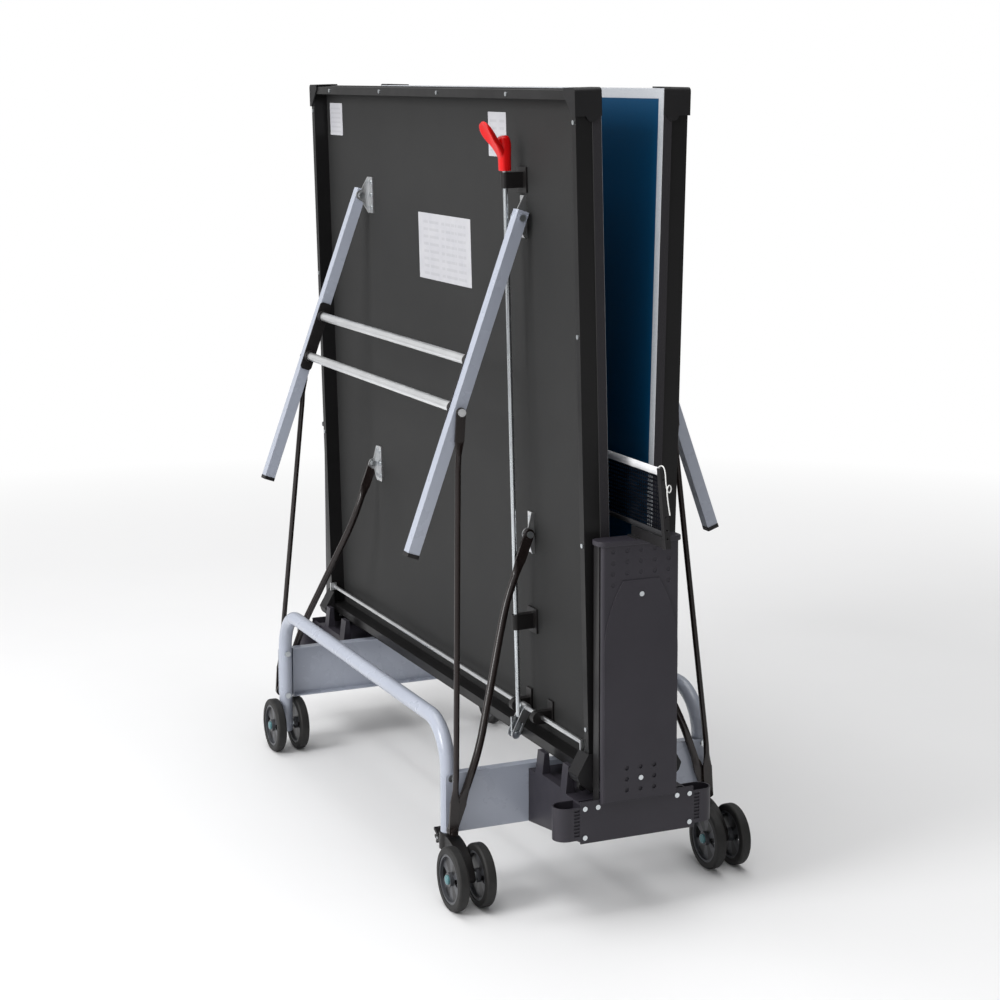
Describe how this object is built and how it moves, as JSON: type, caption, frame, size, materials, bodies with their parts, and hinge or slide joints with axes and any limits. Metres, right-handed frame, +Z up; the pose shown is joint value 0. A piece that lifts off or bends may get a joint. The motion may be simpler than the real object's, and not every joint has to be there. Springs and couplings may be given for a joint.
{
  "type": "folding ping pong table",
  "caption": "folding ping pong table stored upright on a wheeled carriage, with hinged halves, swinging legs, folding stays, a pull lock and a net",
  "frame": {"origin": "on the floor, midway between the two stored halves and midway across the table's width", "axes": "X runs along the playing direction, Y across the table's width with the end that shows the swivel casters at -Y, Z up"},
  "size_m": [0.7146, 1.8358, 1.6266],
  "materials": {
    "board": "coated particle board, blue playing side and dark grey back",
    "rim_black": "dark grey powder coat",
    "paint_grey": "light grey gloss powder coat",
    "zinc": "zinc plated",
    "plastic_black": "moulded, fine texture",
    "tube_black": "black-brown gloss enamel",
    "handle_red": "moulded red",
    "wheel_rubber": "black tread and dark grey hub",
    "plastic_dark": "dark grey moulded, fine texture",
    "net_mesh": "open mesh with a white top band",
    "cord_white": "braided"
  },
  "bodies": {
    "carriage": {"arch_left": "paint_grey", "arch_right": "paint_grey", "beam_near": "paint_grey", "beam_far": "paint_grey", "outrigger_near": "rim_black", "outrigger_far": "rim_black", "column_near": "rim_black", "column_far": "rim_black", "shield_near": "plastic_dark", "shield_far": "plastic_dark", "housing_near": "plastic_dark", "housing_far": "plastic_dark", "net_posts": "rim_black", "net": "net_mesh", "net_cord": "cord_white", "carriage_fasteners": "zinc"},
    "guide_left": {"guide_pins_left": "zinc"},
    "top_left": {"table_top_left": "board", "rim_left": "rim_black", "corner_fittings_left": "plastic_black", "hinge_brackets_left": "zinc", "board_screws_left": "zinc", "lock_guides_left": "plastic_black"},
    "leg_frame_left": {"legs_left": "paint_grey", "leg_crossbars_left": "zinc", "leg_fittings_left": "plastic_black"},
    "arm_pair_left": {"arms_left": "tube_black"},
    "rod_pair_left": {"rods_left": "tube_black"},
    "lock_pull_left": {"lock_rod_left": "zinc", "lock_handle_left": "handle_red"},
    "lock_turn_left": {"lock_shaft_left": "zinc"},
    "caster_left": {"caster_fork_left": "plastic_black", "caster_pins_left": "zinc"},
    "brake_left": {"brake_pedal_left": "plastic_black"},
    "wheel_near_left_outer": {"wheel_near_left_outer": "wheel_rubber"},
    "wheel_far_left_outer": {"wheel_far_left_outer": "wheel_rubber"},
    "wheel_near_left_inner": {"wheel_near_left_inner": "wheel_rubber"},
    "wheel_far_left_inner": {"wheel_far_left_inner": "wheel_rubber"},
    "guide_right": {"guide_pins_right": "zinc"},
    "top_right": {"table_top_right": "board", "rim_right": "rim_black", "corner_fittings_right": "plastic_black", "hinge_brackets_right": "zinc", "board_screws_right": "zinc", "lock_guides_right": "plastic_black"},
    "leg_frame_right": {"legs_right": "paint_grey", "leg_crossbars_right": "zinc", "leg_fittings_right": "plastic_black"},
    "arm_pair_right": {"arms_right": "tube_black"},
    "rod_pair_right": {"rods_right": "tube_black"},
    "lock_pull_right": {"lock_rod_right": "zinc", "lock_handle_right": "handle_red"},
    "lock_turn_right": {"lock_shaft_right": "zinc"},
    "caster_right": {"caster_fork_right": "plastic_black", "caster_pins_right": "zinc"},
    "brake_right": {"brake_pedal_right": "plastic_black"},
    "wheel_near_right_outer": {"wheel_near_right_outer": "wheel_rubber"},
    "wheel_far_right_outer": {"wheel_far_right_outer": "wheel_rubber"},
    "wheel_near_right_inner": {"wheel_near_right_inner": "wheel_rubber"},
    "wheel_far_right_inner": {"wheel_far_right_inner": "wheel_rubber"}
  },
  "joints": [
    {"name": "guide_slide_left", "type": "slide", "parent": "carriage", "child": "guide_left", "axis": [0.1192, 0, 0.9929], "range_m": [0, 0.4562]},
    {"name": "fold_left", "type": "hinge", "parent": "guide_left", "child": "top_left", "pos_m": [-0.07139, 0, 0.26905], "axis": [0, -1, 0], "range_deg": [0, 88.58]},
    {"name": "leg_swing_left", "type": "hinge", "parent": "top_left", "child": "leg_frame_left", "pos_m": [-0.10352, 0, 1.36359], "axis": [0, 1, 0], "range_deg": [0, 69.54]},
    {"name": "arm_swing_left", "type": "hinge", "parent": "top_left", "child": "arm_pair_left", "pos_m": [-0.07831, 0, 0.71002], "axis": [0, 1, 0], "range_deg": [0, 52.27]},
    {"name": "rod_swing_left", "type": "hinge", "parent": "leg_frame_left", "child": "rod_pair_left", "pos_m": [-0.24105, 0, 0.97841], "axis": [0, -1, 0], "range_deg": [0, 62.87]},
    {"name": "lock_slide_left", "type": "slide", "parent": "top_left", "child": "lock_pull_left", "axis": [-0.0248, 0, 0.9997], "range_m": [0, 0.025]},
    {"name": "lock_swing_left", "type": "hinge", "parent": "top_left", "child": "lock_turn_left", "pos_m": [-0.07914, 0, 0.33988], "axis": [0, 1, 0], "range_deg": [0, 18.65]},
    {"name": "swivel_left", "type": "hinge", "parent": "carriage", "child": "caster_left", "pos_m": [-0.2885, -0.523, 0.1], "axis": [0, 0, 1], "continuous": true},
    {"name": "brake_press_left", "type": "hinge", "parent": "caster_left", "child": "brake_left", "pos_m": [-0.2885, -0.499, 0.108], "axis": [-1, 0, 0], "range_deg": [0, 18]},
    {"name": "spin_near_left_outer", "type": "hinge", "parent": "caster_left", "child": "wheel_near_left_outer", "pos_m": [-0.3175, -0.617, 0.064], "axis": [1, 0, 0], "continuous": true},
    {"name": "spin_far_left_outer", "type": "hinge", "parent": "carriage", "child": "wheel_far_left_outer", "pos_m": [-0.3175, 0.523, 0.064], "axis": [1, 0, 0], "continuous": true},
    {"name": "spin_near_left_inner", "type": "hinge", "parent": "caster_left", "child": "wheel_near_left_inner", "pos_m": [-0.2595, -0.617, 0.064], "axis": [1, 0, 0], "continuous": true},
    {"name": "spin_far_left_inner", "type": "hinge", "parent": "carriage", "child": "wheel_far_left_inner", "pos_m": [-0.2595, 0.523, 0.064], "axis": [1, 0, 0], "continuous": true},
    {"name": "guide_slide_right", "type": "slide", "parent": "carriage", "child": "guide_right", "axis": [-0.1192, 0, 0.9929], "range_m": [0, 0.4562]},
    {"name": "fold_right", "type": "hinge", "parent": "guide_right", "child": "top_right", "pos_m": [0.07139, 0, 0.26905], "axis": [0, 1, 0], "range_deg": [0, 88.58]},
    {"name": "leg_swing_right", "type": "hinge", "parent": "top_right", "child": "leg_frame_right", "pos_m": [0.10352, 0, 1.36359], "axis": [0, -1, 0], "range_deg": [0, 69.54]},
    {"name": "arm_swing_right", "type": "hinge", "parent": "top_right", "child": "arm_pair_right", "pos_m": [0.07831, 0, 0.71002], "axis": [0, -1, 0], "range_deg": [0, 52.27]},
    {"name": "rod_swing_right", "type": "hinge", "parent": "leg_frame_right", "child": "rod_pair_right", "pos_m": [0.24105, 0, 0.97841], "axis": [0, 1, 0], "range_deg": [0, 62.87]},
    {"name": "lock_slide_right", "type": "slide", "parent": "top_right", "child": "lock_pull_right", "axis": [0.0248, 0, 0.9997], "range_m": [0, 0.025]},
    {"name": "lock_swing_right", "type": "hinge", "parent": "top_right", "child": "lock_turn_right", "pos_m": [0.07914, 0, 0.33988], "axis": [0, -1, 0], "range_deg": [0, 18.65]},
    {"name": "swivel_right", "type": "hinge", "parent": "carriage", "child": "caster_right", "pos_m": [0.2885, -0.523, 0.1], "axis": [0, 0, 1], "continuous": true},
    {"name": "brake_press_right", "type": "hinge", "parent": "caster_right", "child": "brake_right", "pos_m": [0.2885, -0.499, 0.108], "axis": [-1, 0, 0], "range_deg": [0, 18]},
    {"name": "spin_near_right_outer", "type": "hinge", "parent": "caster_right", "child": "wheel_near_right_outer", "pos_m": [0.3175, -0.617, 0.064], "axis": [1, 0, 0], "continuous": true},
    {"name": "spin_far_right_outer", "type": "hinge", "parent": "carriage", "child": "wheel_far_right_outer", "pos_m": [0.3175, 0.523, 0.064], "axis": [1, 0, 0], "continuous": true},
    {"name": "spin_near_right_inner", "type": "hinge", "parent": "caster_right", "child": "wheel_near_right_inner", "pos_m": [0.2595, -0.617, 0.064], "axis": [1, 0, 0], "continuous": true},
    {"name": "spin_far_right_inner", "type": "hinge", "parent": "carriage", "child": "wheel_far_right_inner", "pos_m": [0.2595, 0.523, 0.064], "axis": [1, 0, 0], "continuous": true}
  ],
  "couplings": [
    {"joint": "guide_slide_left", "follows": "fold_left", "m_per_rad": 0.29508},
    {"joint": "leg_swing_left", "follows": "fold_left", "ratio": 0.78501},
    {"joint": "arm_swing_left", "follows": "fold_left", "ratio": 0.59013},
    {"joint": "rod_swing_left", "follows": "fold_left", "ratio": 0.70974},
    {"joint": "lock_swing_left", "follows": "lock_slide_left", "rad_per_m": 13.019},
    {"joint": "guide_slide_right", "follows": "fold_right", "m_per_rad": 0.29508},
    {"joint": "leg_swing_right", "follows": "fold_right", "ratio": 0.78501},
    {"joint": "arm_swing_right", "follows": "fold_right", "ratio": 0.59013},
    {"joint": "rod_swing_right", "follows": "fold_right", "ratio": 0.70974},
    {"joint": "lock_swing_right", "follows": "lock_slide_right", "rad_per_m": 13.019}
  ]
}
